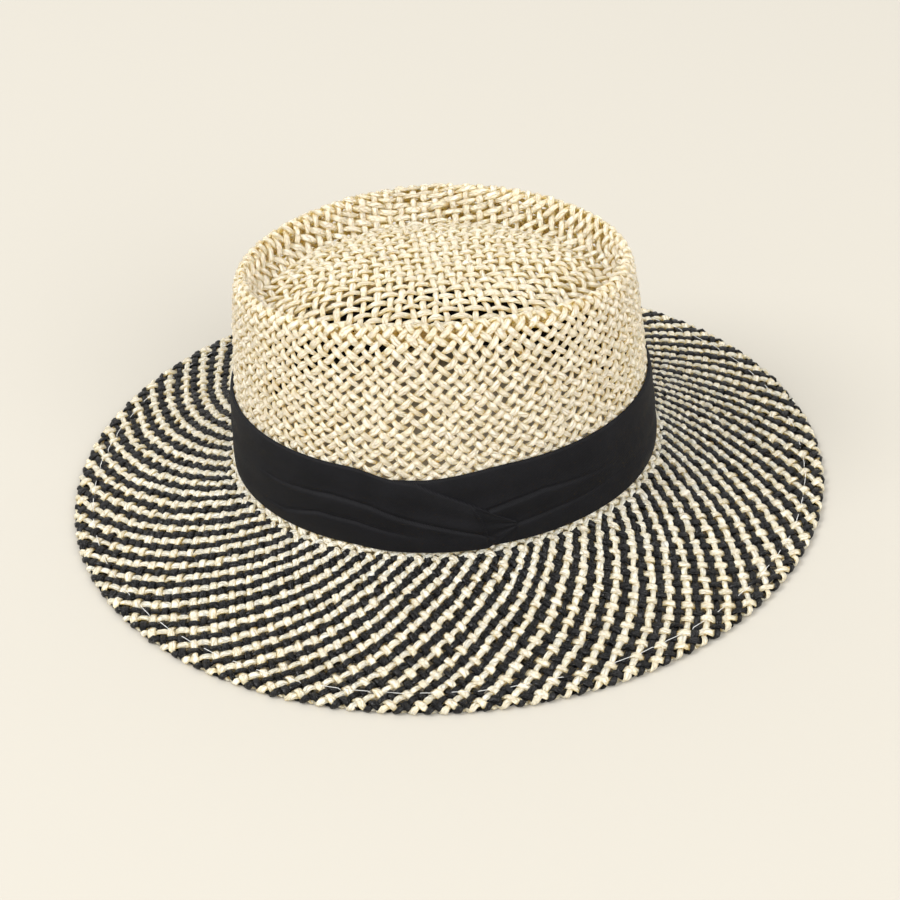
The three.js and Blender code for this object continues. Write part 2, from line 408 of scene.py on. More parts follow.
def tip_net():
    """Where the crossings of the tip lie on a disc of radius 1. They are even round its edge, which is the
    ridge, and inside it each one is drawn towards its four neighbours."""
    lines = np.arange(-NET_REACH, NET_REACH) + 0.5
    p, q = np.meshgrid(lines, lines, indexing="ij")
    level = np.abs(p) + np.abs(q)
    turn = (TIP_LEVELS - np.abs(p) + np.abs(q)) / (8 * TIP_LEVELS)
    turn = np.where(p < 0, 0.5 - turn, turn)
    turn = np.where(q < 0, -turn, turn)
    angle = turn_to_angle(turn + WEAVE_TURN)
    radius = 1 + (level - TIP_LEVELS) * (LEVEL_STATIONS[1] - LEVEL_STATIONS[0]) / RIDGE_STATION
    net = np.stack([radius * np.cos(angle), radius * np.sin(angle)], -1)
    inside = level < TIP_LEVELS
    number = np.where(inside, np.cumsum(inside).reshape(inside.shape) - 1, -1)
    row, column = np.nonzero(inside)
    own = np.arange(len(row))
    pulls = np.zeros((len(row), len(row)))
    known = np.zeros((len(row), 2))
    for row_step, column_step in ((1, 0), (-1, 0), (0, 1), (0, -1)):
        beside = row + row_step, column + column_step
        place_on_line = lines[row] + row_step / 2 if row_step else lines[column] + column_step / 2
        shares, spacings = np.array(TIP_SPACING_LONG if row_step else TIP_SPACING_WIDE).T
        pull = 1 / np.interp(np.abs(place_on_line) / TIP_LEVELS, shares, spacings)
        pulls[own, own] += pull
        free = inside[beside]
        pulls[own[free], number[beside][free]] -= pull[free]
        known += np.where(free, 0, pull)[:, None] * net[beside]
    net[row, column] = np.linalg.solve(pulls, known)
    return net


TIP_NET = tip_net()


def curve_shares(t):
    """Shares of four rows in a point between the middle two, on a smooth curve through them all."""
    return [
        (2 * t**2 - t - t**3) / 2,
        (2 - 5 * t**2 + 3 * t**3) / 2,
        (t + 4 * t**2 - 3 * t**3) / 2,
        (t**3 - t**2) / 2,
    ]


def tip_point(p, q):
    """A point of the tip's net, at its crossings or between them."""
    end = TIP_LEVELS + 1
    row, row_share = np.divmod(np.clip(p, -end, end) + NET_REACH - 0.5, 1)
    column, column_share = np.divmod(np.clip(q, -end, end) + NET_REACH - 0.5, 1)
    point = 0
    for i, share in enumerate(curve_shares(row_share)):
        for j, other_share in enumerate(curve_shares(column_share)):
            corner = TIP_NET[row.astype(int) + i - 1, column.astype(int) + j - 1]
            point = point + (share * other_share)[..., None] * corner
    return point


def weave_point(p, q, follows_p):
    """Where strand p crosses strand q. Outside the tip, follows_p says which of the two is being followed."""
    level = np.abs(p) + np.abs(q)
    tip_turn = np.abs(q) / np.maximum(level, 1e-9) / 4
    wall = np.clip(level, TIP_LEVELS, RING_LEVEL) - TIP_LEVELS
    brim = np.maximum(level - RING_LEVEL, 0)
    if follows_p:
        start = (TIP_LEVELS - np.abs(p)) / (4 * TIP_LEVELS)
        outer_turn = start + wall / (8 * TIP_LEVELS) + brim / (16 * TIP_LEVELS)
    else:
        start = np.abs(q) / (4 * TIP_LEVELS)
        outer_turn = start - wall / (8 * TIP_LEVELS) - brim / (16 * TIP_LEVELS)
    on_tip = level < TIP_LEVELS
    turn = np.where(on_tip, tip_turn, outer_turn)
    turn = np.where(p < 0, 0.5 - turn, turn)
    turn = np.where(q < 0, -turn, turn)
    x, y = np.moveaxis(tip_point(p, q), -1, 0)
    angle = np.where(on_tip, np.arctan2(y, x), turn_to_angle(turn + WEAVE_TURN))
    station = np.where(on_tip, np.hypot(x, y) * RIDGE_STATION, np.interp(level, LEVELS, LEVEL_STATIONS))
    return place(station, turn, angle)


class Strands:
    """Gathers many strands into one mesh. Each is a flattened tube with its own shade, and none goes below
    the surface that the hat rests on."""

    def __init__(self, name, sides=STRAND_SIDES):
        self.name = name
        self.sides = sides
        self.points = []
        self.faces = []
        self.uvs = []
        self.tones = []
        self.dips = []
        self.count = 0

    def add(self, centre, normal, width, thickness, dip_shade, tone, roll=0, crumple=0):
        sides = self.sides
        tangent = unit(np.gradient(centre, axis=0))
        side = unit(np.cross(normal, tangent))
        normal = np.cross(tangent, side)
        tilt = (roll + np.zeros(len(centre)))[:, None]
        rolled_side = side * np.cos(tilt) + normal * np.sin(tilt)
        rolled_normal = normal * np.cos(tilt) - side * np.sin(tilt)
        turn = 2 * math.pi * np.arange(sides) / sides
        across = np.sign(np.cos(turn)) * np.abs(np.cos(turn)) ** SECTION_POWER
        upward = np.sign(np.sin(turn)) * np.abs(np.sin(turn)) ** SECTION_POWER
        ridges = 1 + np.stack([wander(len(centre), crumple, 3) for _ in turn], 1)
        ring = (
            centre[:, None]
            + rolled_side[:, None] * (across * ridges * width[:, None] / 2)[..., None]
            + rolled_normal[:, None] * (upward * ridges * thickness[:, None] / 2)[..., None]
        )
        ring[..., 2] = np.maximum(ring[..., 2], 0)
        rows = len(centre)
        self.points.append(ring.reshape(-1, 3))
        i = np.arange(rows - 1)[:, None]
        k = np.arange(sides)[None]
        after = (k + 1) % sides
        quads = np.stack([i * sides + k, (i + 1) * sides + k, (i + 1) * sides + after, i * sides + after], -1)
        caps = [np.arange(sides), (rows - 1) * sides + np.arange(sides)[::-1]]
        self.faces.append((quads.reshape(-1, 4) + self.count, [cap + self.count for cap in caps]))
        along = np.concatenate([[0], np.cumsum(np.linalg.norm(np.diff(centre, axis=0), axis=1))])
        start = rng.uniform(0, 1)
        u = np.stack([(k + corner) / sides + 0 * i for corner in (0, 0, 1, 1)], -1)
        v = np.stack([along[i + corner] + 0 * k for corner in (0, 1, 1, 0)], -1)
        self.uvs.append(np.stack([u.reshape(-1, 4) + start, v.reshape(-1, 4) + start], -1))
        self.tones.append(np.repeat(tone, sides))
        self.dips.append(np.repeat(dip_shade, sides))
        self.count += rows * sides

    def build(self, material, slot, stands_for=None):
        mesh = bpy.data.meshes.new(self.name)
        points = np.concatenate(self.points).astype(np.float32)
        quads = np.concatenate([quads for quads, caps in self.faces])
        caps = [cap for quads, ends in self.faces for cap in ends]
        loops = np.concatenate([quads.ravel()] + caps).astype(np.int32)
        sizes = np.concatenate([np.full(len(quads), 4), [len(cap) for cap in caps]]).astype(np.int32)
        mesh.vertices.add(len(points))
        mesh.vertices.foreach_set("co", points.ravel())
        mesh.loops.add(len(loops))
        mesh.loops.foreach_set("vertex_index", loops)
        mesh.polygons.add(len(sizes))
        mesh.polygons.foreach_set("loop_start", np.concatenate([[0], np.cumsum(sizes)[:-1]]).astype(np.int32))
        mesh.polygons.foreach_set("loop_total", sizes)
        mesh.polygons.foreach_set("use_smooth", np.ones(len(sizes), bool))
        layer = mesh.uv_layers.new(name="strand")
        uv = np.concatenate([u.reshape(-1, 2) for u in self.uvs])
        uv = np.concatenate([uv, np.zeros((len(loops) - len(uv), 2))]).astype(np.float32)
        layer.data.foreach_set("uv", uv.ravel())
        # The dip value of each point drives painted shade and painted light in the straw's colour.
        for name, values in (("tone", self.tones), ("dip_shade", self.dips)):
            attribute = mesh.attributes.new(name, "FLOAT", "POINT")
            attribute.data.foreach_set("value", np.concatenate(values).astype(np.float32))
        mesh.update(calc_edges=True)
        mesh.validate()
        mesh.materials.append(material)
        piece = bpy.data.objects.new(self.name, mesh)
        bpy.context.scene.collection.objects.link(piece)
        finish_piece(piece, stands_for)


def finish_piece(piece, stands_for):
    """Puts a piece on the hat's one body, and in place of a solid if it stands for one."""
    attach(piece, "root")
    if stands_for:
        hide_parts(stands_for)


def wander(count, size, every):
    """Smooth random values along a strand, one new value for each so many samples."""
    knots = rng.normal(0, 1, count // every + 4)
    x = np.arange(count) / every + 1
    i = x.astype(int)
    t = x - i
    t = t * t * (3 - 2 * t)
    return size * (knots[i] * (1 - t) + knots[i + 1] * t)


def strand_samples(path, x, rise, widest, spacing):
    """Centre, normal, width, thickness, dip, tone, roll and crumple of one strand whose path gives points."""
    points, normals = path(x)
    tangent = unit(np.gradient(points, axis=0))
    side = np.cross(normals, tangent)
    count = len(x)
    aside = wander(count, SHORT_DRIFT, SAMPLES_PER_CROSSING)
    aside = aside + wander(count, LONG_DRIFT, 3 * SAMPLES_PER_CROSSING)
    crest = rise / STRAND_LIFT
    width_share = 1 + WIDTH_CHANGE * crest + wander(count, WIDTH_CHANGE, 4)
    width = np.minimum(widest, STRAND_FILL * spacing) * width_share
    thickness = STRAND_THICKNESS * (1 + THICKNESS_CHANGE * crest + wander(count, THICKNESS_CHANGE, 4))
    lift = rise + wander(count, HEIGHT_DRIFT, 3)
    centre = points + side * aside[:, None] + normals * lift[:, None]
    tone = rng.normal(0, STRAND_SHADE) + wander(count, SHADE_CHANGE, 6)
    roll = wander(count, ROLL_CHANGE, 5)
    return centre, normals, width, thickness, -crest, tone, roll, SECTION_CRUMPLE


def level_spacing(level):
    """Distance between neighbouring strands of one direction at a level."""
    stations = np.interp(level, LEVELS, LEVEL_STATIONS)
    rise = np.gradient(LEVEL_STATIONS, LEVELS)
    step = np.interp(level, LEVELS, rise)
    per_strand = np.where(level < RING_LEVEL, 1, 2) * CROWN_STRANDS
    round_step = circumference(stations) / per_strand
    return round_step * step / np.hypot(step, round_step / 2)


def strand_spacing(line, x, follows_p):
    """Distance to the next strand over, square to the strand."""
    shift = 0.25
    sides = []
    for beside in (line - shift, line + shift):
        p, q = (beside + 0 * x, x) if follows_p else (x, beside + 0 * x)
        sides.append(weave_point(p, q, follows_p)[0])
    near, far = sides
    gap = (far - near) / (2 * shift)
    middle = (far + near) / 2
    tangent = unit(np.gradient(middle, axis=0))
    across = gap - tangent * (gap * tangent).sum(-1, keepdims=True)
    return np.linalg.norm(across, axis=-1)


def flattened(wave):
    """A wave with flatter tops, as a strand lies across the one under it."""
    return np.tanh(CREST_FLATNESS * wave) / math.tanh(CREST_FLATNESS)


def natural_strand(line, follows_p):
    """One strand of the crown from hem to hem over the tip: its samples and its level at each."""
    end = LAST_LEVEL - abs(line)
    x = np.arange(-end, end + 1e-6, 1 / SAMPLES_PER_CROSSING)
    level = abs(line) + np.abs(x)
    sign = -1 if follows_p else 1
    rise = sign * STRAND_LIFT * flattened(np.sin(math.pi * line) * np.sin(math.pi * x))
    spacing = strand_spacing(line, x, follows_p)
    near_axis = level > TIP_LEVELS - 0.5
    spacing = np.where(near_axis, level_spacing(np.maximum(level, TIP_LEVELS)), spacing)
    runs_with_stripes = sign * line * x > 0
    on_brim = np.where(runs_with_stripes, TIGHT_SHARE, 1) * BRIM_STRAND_WIDTH
    widest = np.where(level < FOOT_LEVEL, CROWN_STRAND_WIDTH, on_brim)

    def path(values):
        fixed = line + 0 * values
        return weave_point(fixed, values, True) if follows_p else weave_point(values, fixed, False)

    return level, strand_samples(path, x, rise, widest, spacing)


def add_stretch(group, samples, keep):
    """Adds the stretches of a strand where keep is true, each with one sample more at both ends."""
    index = np.flatnonzero(keep)
    if len(index) < 3:
        return
    for run in np.split(index, np.flatnonzero(np.diff(index) > 1) + 1):
        if len(run) > 2:
            start = max(run[0] - 1, 0)
            stop = min(run[-1] + 2, len(keep))
            group.add(*[part[start:stop] for part in samples[:-1]], samples[-1])


def weave_natural(crown_groups, brim_groups):
    half = TIP_LEVELS - 0.5
    for follows_p in (True, False):
        for line in np.arange(-half, half + 1):
            level, samples = natural_strand(line, follows_p)
            crown = crown_groups[2 * follows_p + (line > 0)]
            add_stretch(crown, samples, level <= FOOT_LEVEL)
            brim = brim_groups[int(follows_p)]
            add_stretch(brim, samples, level > FOOT_LEVEL)


def weave_black(groups):
    """Black strands: each comes in from the hem, crosses itself at the ring, loops under the plain straw
    there and goes out the other way. The loop's reach, top and rise are in crossings."""
    count = CROWN_STRANDS
    loop = 0.6
    top = 0.3
    loop_depth = 2.2 * STRAND_LIFT
    rise_length = 0.3
    end = LAST_LEVEL - RING_LEVEL + 1
    x = np.arange(-end, end + 1e-6, 1 / SAMPLES_PER_CROSSING)
    fine = np.arange(-1, 1 + 1e-6, 0.4 / SAMPLES_PER_CROSSING)
    x = np.concatenate([x[x < -1.1], fine, x[x > 1.1]])
    looped = np.abs(x) < 1 - loop
    wave = np.pi * x / (2 * (1 - loop))
    aside = np.where(looped, -loop * np.sin(wave), np.sign(x) * (np.abs(x) - 1))
    outward = np.where(looped, -loop - top * np.cos(wave), np.abs(x) - 1)
    level = RING_LEVEL + outward
    over = STRAND_LIFT * np.sign(x) * flattened(np.cos(math.pi * outward))
    under = -loop_depth * np.cos(wave)
    rise = np.where(looped, under, over * np.clip((np.abs(x) - 1 + loop) / rise_length, 0, 1))
    widest = BRIM_STRAND_WIDTH * np.where(looped | (x < 0), TIGHT_SHARE, 1)
    for i in range(count):
        root = (i + WALL_LEVELS % 2 / 2) / count

        def path(values):
            station = np.interp(level, LEVELS, LEVEL_STATIONS)
            return place(station, root + aside / (16 * TIP_LEVELS))

        groups[i % len(groups)].add(*strand_samples(path, x, rise, widest, level_spacing(level)))


def wall_point(angle, height, out):
    """A point at a height and a distance out from the wall's outer face, square to the oval."""
    wall = crown_rows[: RIDGE_ROW * PROFILE_STEPS]
    length = np.interp(height, wall[:, 2], wall[:, 0])
    width = np.interp(height, wall[:, 2], wall[:, 1])
    normal = unit(np.stack([np.cos(angle) / length, np.sin(angle) / width, 0 * height], -1))
    return np.stack([length * np.cos(angle), width * np.sin(angle), height], -1) + normal * out[..., None]


def ease(x, start, end, before, after):
    """Goes smoothly from before to after while x goes from start to end."""
    return before + (after - before) * smoothstep((x - start) / (end - start))


def slide(x, start, end, before, after):
    """Goes straight from before to after while x goes from start to end."""
    return before + (after - before) * np.clip((x - start) / (end - start), 0, 1)


def crease_relief(x, height, creases):
    """How far the cloth stands out or in round each crease: a fine groove, and soft pleats beside it."""
    relief = 0
    for crease in creases:
        distance, share, sharp = np.array(crease, float).T
        middle = np.interp(x, distance * MM, share) * (BAND_HIGH.z - BAND_LOW.z)
        sharpness = np.interp(x, distance * MM, sharp, 0, 0)
        above = height - middle
        away = np.abs(above)
        groove = -GROOVE_DEPTH * np.exp(-((above / GROOVE_WIDTH) ** 2))
        pleat = np.where(above < 0, PLEAT_BELOW, PLEAT_ABOVE) * np.exp(-away / PLEAT_REACH)
        relief = relief + sharpness * (groove + pleat * (1 - np.exp(-away / MM)))
    return relief


def seam_relief(x, height):
    """The fold that ends the upper layer: a thin ridge, with the cloth a step lower past it."""
    place_x, place_height = np.array(FOLD_SEAM, float).T * MM
    past = x - np.interp(height, place_height, place_x)
    ridge = SEAM_RISE * np.exp(-((past / SEAM_WIDTH) ** 2))
    step = -SEAM_RISE * smoothstep(past / SEAM_STEP_WIDTH)
    return (ridge + step) * smoothstep((place_height[-1] - height) / (3 * MM))


def band_angles():
    """Angles along the band, from its start under the crossing, once round and past the start. They are
    closer together near both ends."""
    start = -math.pi / 2 + math.asin(CROSSING_START / FOOT_LENGTH)
    end = 1.5 * math.pi + math.asin(CROSSING_TIP / FOOT_LENGTH)
    start_part = start + 0.7
    end_part = end - 1.1
    near_start = np.linspace(start, start_part, 120, endpoint=False)
    round_back = np.linspace(start_part, end_part, 180, endpoint=False)
    near_end = np.linspace(end_part, end, 260)
    return np.concatenate([near_start, round_back, near_end])


def band_surface():
    """Rings of points round the band's cross-section at each angle, and the distance and height of each."""
    angle = band_angles()[:, None]
    is_start = angle < math.pi / 2
    x = FOOT_LENGTH * (np.where(is_start, angle, angle - 2 * math.pi) + math.pi / 2)
    foot = BAND_LOW.z
    top = BAND_HIGH.z
    lift_start = 2 * CROSSING_START
    over = np.where(is_start, 0, ease(x, lift_start, CROSSING_START, 0, CLOTH_THICKNESS + LAYER_GAP))
    under_top = ease(x, CROSSING_NOTCH, CROSSING_TIP, top - CROSSING_DIP, top)
    fold_height = foot + FOLD_SHARE * (top - foot)
    tip_middle = foot + TIP_SHARE * (top - foot)
    over_top = ease(x, lift_start, CROSSING_NOTCH, top, top - CROSSING_DIP)
    over_top = slide(x, CROSSING_NOTCH, CROSSING_FOLD, over_top, fold_height)
    over_top = slide(x, CROSSING_FOLD, CROSSING_TIP, over_top, tip_middle + TIP_HEIGHT / 2)
    over_foot = slide(x, CROSSING_FOOT, CROSSING_TIP, foot, tip_middle - TIP_HEIGHT / 2)
    top_edge = np.where(is_start, under_top, over_top)
    foot_edge = np.where(is_start, foot, over_foot)
    share = np.linspace(0, 1, BAND_ROWS + 1)[None]
    height = foot_edge + (top_edge - foot_edge) * share
    to_edge = np.minimum(height - foot_edge, top_edge - height)
    to_edge = np.minimum(to_edge, np.where(is_start, 1, CROSSING_TIP - x))
    rounded = np.sqrt(1 - (1 - np.clip(to_edge / CLOTH_EDGE, 0, 1)) ** 2)
    up = height - foot
    relief = np.where(is_start, crease_relief(x, up, RIGHT_CREASES), crease_relief(x, up, LEFT_CREASES))
    relief = relief + np.where(is_start, 0, seam_relief(x, up))
    soft_pleats = SOFT_PLEAT * np.sin(math.pi * BAND_PLEATS * share) ** 2
    waves = np.sin(x / (19 * MM) + 40 * up) + 0.6 * np.sin(x / (7.3 * MM) - 90 * up)
    relief = relief + soft_pleats + CLOTH_WAVE * waves
    out = BAND_LIFT + over + CLOTH_THICKNESS * rounded + relief * smoothstep(to_edge / (2 * MM))
    outer = wall_point(angle + 0 * height, height, out)
    back = wall_point(angle + 0 * height[:, :2], height[:, [-1, 0]], BAND_LIFT + over + 0 * height[:, :2])
    rings = np.concatenate([outer, back], 1)
    along = np.unwrap(angle, axis=0) * FOOT_LENGTH + 0 * height
    cloth = np.stack([along, height], -1)
    return rings, np.concatenate([cloth, cloth[:, [-1, 0]]], 1)


def sweatband_surface():
    """Rings round the sweatband's cross-section: a flat tape with rounded edges that leans with the wall."""
    angle = np.linspace(0, 2 * math.pi, 240, endpoint=False)[:, None]
    half = SWEAT_THICKNESS / 2
    middle = -STRAW_THICKNESS - LAYER_GAP - half
    edge = np.linspace(-math.pi / 2, math.pi / 2, 5)
    rise = np.linspace(0, 1, 9)
    low, high = SWEAT_LOW.z + half, SWEAT_HIGH.z - half
    face = low + (high - low) * rise
    bow = half * np.cos(edge)
    heights = np.concatenate([face, high + bow, face[::-1], low - bow])
    flat = np.full(len(rise), half)
    outs = np.concatenate([-flat, half * np.sin(edge), flat, -half * np.sin(edge)])
    heights, outs = heights[None] + 0 * angle, middle + outs[None] + 0 * angle
    rings = wall_point(angle + 0 * heights, np.maximum(heights, CROWN_FOOT), outs)
    rings[..., 2] = heights
    return rings, np.stack([angle * FOOT_LENGTH + 0 * heights, heights], -1)


def sweep(name, rings, cloth, closed, material, slot, stands_for):
    """A mesh through rings of points, joined end to end if closed and capped otherwise."""
    count, size = rings.shape[:2]
    spans = count if closed else count - 1
    i = np.arange(spans)[:, None]
    k = np.arange(size)[None]
    after, ahead = (k + 1) % size, (i + 1) % count
    faces = np.stack([i * size + k, ahead * size + k, ahead * size + after, i * size + after], -1)
    faces = faces.reshape(-1, 4).tolist()
    if not closed:
        faces += [list(range(size)), [(count - 1) * size + n for n in reversed(range(size))]]
    mesh = bpy.data.meshes.new(name)
    mesh.from_pydata(rings.reshape(-1, 3).tolist(), [], faces)
    layer = mesh.uv_layers.new(name="cloth")
    corners = np.empty(len(mesh.loops), np.int32)
    mesh.loops.foreach_get("vertex_index", corners)
    layer.data.foreach_set("uv", cloth.reshape(-1, 2)[corners].astype(np.float32).ravel())
    mesh.polygons.foreach_set("use_smooth", np.ones(len(mesh.polygons), bool))
    mesh.materials.append(material)
    piece = bpy.data.objects.new(name, mesh)
    bpy.context.scene.collection.objects.link(piece)
    turn_faces_out(piece)
    finish_piece(piece, stands_for)
    return piece


def turn_faces_out(piece):
    made = bmesh.new()
    made.from_mesh(piece.data)
    bmesh.ops.recalc_face_normals(made, faces=made.faces)
    made.to_mesh(piece.data)
    made.free()


def thread_stitch(group, start, end, path, diameter, height):
    """One stitch of thread that comes up, lies along the surface and goes down again."""
    share = np.linspace(0, 1, STITCH_SAMPLES)
    points, normals = path(start + (end - start) * share)
    lift = height * np.clip(np.sin(math.pi * share) * 2.5, 0, 1)
    centre = points + normals * lift[:, None]
    thick = np.full(len(share), diameter)
    group.add(centre, normals, thick, thick, 0 * share, 0 * share)


def sew_hem(group):
    station = np.interp(FOOT_LENGTH + BRIM_WIDTH - HEM_WIDTH, PROFILE[:, 0], STATIONS)
    height = STRAND_LIFT + 0.6 * STRAND_THICKNESS
    for i in range(HEM_STITCHES):
        start = (i + rng.uniform(-0.12, 0.12)) / HEM_STITCHES
        length = rng.uniform(*HEM_STITCH_SHARES) / HEM_STITCHES
        drift = rng.uniform(-HEM_STITCH_STRAY, HEM_STITCH_STRAY, 2)

        def path(turn):
            line = station + np.interp(turn, [start, start + length], drift)
            return place(line, turn)

        thread_stitch(group, start, start + length, path, HEM_THREAD, height)


def sew_sweatband(group):
    height = SWEAT_LOW.z + SWEAT_SEAM_HEIGHT
    inner_face = -STRAW_THICKNESS - LAYER_GAP - SWEAT_THICKNESS

    def path(turn):
        angle = turn_to_angle(turn)
        level = np.full(len(turn), height)
        points = wall_point(angle, level, np.full(len(turn), inner_face))
        normals = points - wall_point(angle, level, np.zeros(len(turn)))
        return points, unit(normals)

    for i in range(SWEAT_STITCHES):
        start = i / SWEAT_STITCHES
        end = start + SWEAT_STITCH_SHARE / SWEAT_STITCHES
        thread_stitch(group, start, end, path, SWEAT_THREAD, SWEAT_STITCH_RISE)


# Materials.
def new_material(name):
    material = bpy.data.materials.new(name)
    material.use_nodes = True
    return material, material.node_tree, material.node_tree.nodes["Principled BSDF"]


def node(tree, kind, **settings):
    made = tree.nodes.new(kind)
    for key, value in settings.items():
        setattr(made, key, value)
    return made


def ramp(tree, stops, value):
    made = node(tree, "ShaderNodeValToRGB")
    elements = made.color_ramp.elements
    while len(elements) < len(stops):
        elements.new(0.5)
    for element, (position, colour) in zip(elements, stops):
        element.position = position
        element.color = (*colour, 1)
    tree.links.new(value, made.inputs["Fac"])
    return made.outputs["Color"]


def strand_value(tree, name):
    """A value that each point of a strand carries."""
    return node(tree, "ShaderNodeAttribute", attribute_name=name).outputs["Fac"]


def combine(tree, operation, first, second):
    made = node(tree, "ShaderNodeMath", operation=operation)
    for socket, value in zip(made.inputs, (first, second)):
        if isinstance(value, (int, float)):
            socket.default_value = value
        else:
            tree.links.new(value, socket)
    return made.outputs[0]


def noise(tree, vector, scale, detail=2, roughness=0.5):
    made = node(tree, "ShaderNodeTexNoise")
    made.inputs["Scale"].default_value = scale
    made.inputs["Detail"].default_value = detail
    made.inputs["Roughness"].default_value = roughness
    tree.links.new(vector, made.inputs["Vector"])
    return made.outputs["Fac"]


def bump(tree, shader, height, strength, distance):
    made = node(tree, "ShaderNodeBump")
    made.inputs["Strength"].default_value = strength
    made.inputs["Distance"].default_value = distance
    tree.links.new(height, made.inputs["Height"])
    tree.links.new(made.outputs["Normal"], shader.inputs["Normal"])


def lets_light_through(material, colour, share):
    """Mixes in light that passes through, which makes the inside of a pale weave glow warm."""
    tree = material.node_tree
    shader = tree.nodes["Principled BSDF"]
    through = node(tree, "ShaderNodeBsdfTranslucent")
    through.inputs["Color"].default_value = (*colour, 1)
    mix = node(tree, "ShaderNodeMixShader")
    mix.inputs["Fac"].default_value = share
    tree.links.new(shader.outputs["BSDF"], mix.inputs[1])
    tree.links.new(through.outputs["BSDF"], mix.inputs[2])
    tree.links.new(mix.outputs["Shader"], tree.nodes["Material Output"].inputs["Surface"])


def paper_straw(name, light, middle, dark, roughness, gloss):
    """Twisted paper: lengthwise creases, a crumpled surface, painted shade in the folds and where a strand
    dips under another, and painted light where it lies over one.
    """
    material, tree, shader = new_material(name)
    uv = node(tree, "ShaderNodeUVMap", uv_map="strand")
    stretch = node(tree, "ShaderNodeMapping")
    creases_round, creases_along = 6, 240
    stretch.inputs["Scale"].default_value = (creases_round, creases_along, 1)
    tree.links.new(uv.outputs["UV"], stretch.inputs["Vector"])
    folds = combine(tree, "SUBTRACT", noise(tree, stretch.outputs["Vector"], 1, 2, 0.5), 0.5)
    creases = combine(tree, "MINIMUM", combine(tree, "MULTIPLY", combine(tree, "ABSOLUTE", folds, 0), 12), 1)
    position = node(tree, "ShaderNodeTexCoord").outputs["Object"]
    crumple = noise(tree, position, 800)
    tone = combine(tree, "MULTIPLY", strand_value(tree, "tone"), 0.1)
    # Painted shade and light: darker where a strand dips under another, lighter where it lies over one.
    dip_shade = combine(tree, "MULTIPLY", strand_value(tree, "dip_shade"), 0.27)
    # Painted shade along the fold lines of the creases, over random tone from the crumple noise.
    fine = combine(tree, "MULTIPLY", combine(tree, "SUBTRACT", crumple, creases), 0.3)
    shade = combine(tree, "ADD", combine(tree, "ADD", tone, dip_shade), combine(tree, "ADD", fine, 0.45))
    colour = ramp(tree, [(0.15, light), (0.5, middle), (0.9, dark)], shade)
    tree.links.new(colour, shader.inputs["Base Color"])
    shader.inputs["Roughness"].default_value = roughness
    shader.inputs["Specular IOR Level"].default_value = gloss
    height = combine(tree, "ADD", creases, combine(tree, "MULTIPLY", crumple, 0.8))
    bump(tree, shader, height, 1, 0.6 * MM)
    return material


# The dark end of each ramp is reached mostly by painted shade where strands dip under others and in the
# folds.
NATURAL_TONES = [(0.98, 0.975, 0.90), (0.95, 0.93, 0.75), (0.68, 0.43, 0.10)]
BLACK_TONES = [(0.010, 0.010, 0.0105), (0.004, 0.0039, 0.0039), (0.001, 0.001, 0.001)]
natural_straw = paper_straw("natural_straw", *NATURAL_TONES, roughness=0.55, gloss=0.5)
lets_light_through(natural_straw, colour=(0.98, 0.80, 0.26), share=0.48)
black_straw = paper_straw("black_straw", *BLACK_TONES, roughness=0.15, gloss=0.19)


def woven_cloth(name, thread, cross, dark, light, roughness, sheen):
    """Cloth with fine raised lines, one thread apart. They are ribs when cross is 0, and slant more with a
    higher cross, up to twill at 1."""
    material, tree, shader = new_material(name)
    uv = node(tree, "ShaderNodeUVMap", uv_map="cloth").outputs["UV"]
    split = node(tree, "ShaderNodeSeparateXYZ")
    tree.links.new(uv, split.inputs["Vector"])
    along = combine(tree, "MULTIPLY", split.outputs["X"], 2 * math.pi / thread)
    across = combine(tree, "MULTIPLY", split.outputs["Y"], 2 * math.pi * cross / thread)
    lines = combine(tree, "SINE", combine(tree, "ADD", along, across), 0)
    lines = combine(tree, "MULTIPLY", lines, 0.5)
    fibres = noise(tree, uv, 1300, 3, 0.6)
    wear = noise(tree, uv, 60, 3, 0.6)
    fibre_shade = combine(tree, "MULTIPLY", fibres, 0.6)
    shade = combine(tree, "ADD", fibre_shade, combine(tree, "MULTIPLY", lines, 0.3))
    shade = combine(tree, "ADD", shade, combine(tree, "MULTIPLY", wear, 0.4))
    colour = ramp(tree, [(0.2, dark), (0.75, light)], shade)
    tree.links.new(colour, shader.inputs["Base Color"])
    shader.inputs["Roughness"].default_value = roughness
    shader.inputs["Sheen Weight"].default_value = sheen
    shader.inputs["Sheen Roughness"].default_value = 0.4
    shader.inputs["Specular IOR Level"].default_value = 0.1
    bump(tree, shader, combine(tree, "ADD", lines, fibres), 0.7, 0.12 * MM)
    return material


def nylon_thread():
    material, tree, shader = new_material("hem_thread")
    cloudy = noise(tree, node(tree, "ShaderNodeTexCoord").outputs["Object"], 400)
    colour = ramp(tree, [(0, (0.7, 0.7, 0.68)), (1, (0.95, 0.95, 0.93))], cloudy)
    tree.links.new(colour, shader.inputs["Base Color"])
    shader.inputs["Roughness"].default_value = 0.15
    shader.inputs["Transmission Weight"].default_value = 0.35
    return material


twill = woven_cloth(
    "band_twill", thread=0.9 * MM, cross=1, dark=(0.0005, 0.0005, 0.0008), light=(0.009, 0.009, 0.011),
    roughness=0.62, sheen=0.01,
)
tape = woven_cloth(
    "sweat_tape", thread=1.1 * MM, cross=0, dark=(0.003, 0.003, 0.003), light=(0.012, 0.012, 0.013),
    roughness=0.85, sheen=0.1,
)
black_thread = woven_cloth(
    "black_thread", thread=0.8 * MM, cross=0.5, dark=(0.01, 0.01, 0.011), light=(0.03, 0.03, 0.033),
    roughness=0.6, sheen=0.2,
)
nylon = nylon_thread()

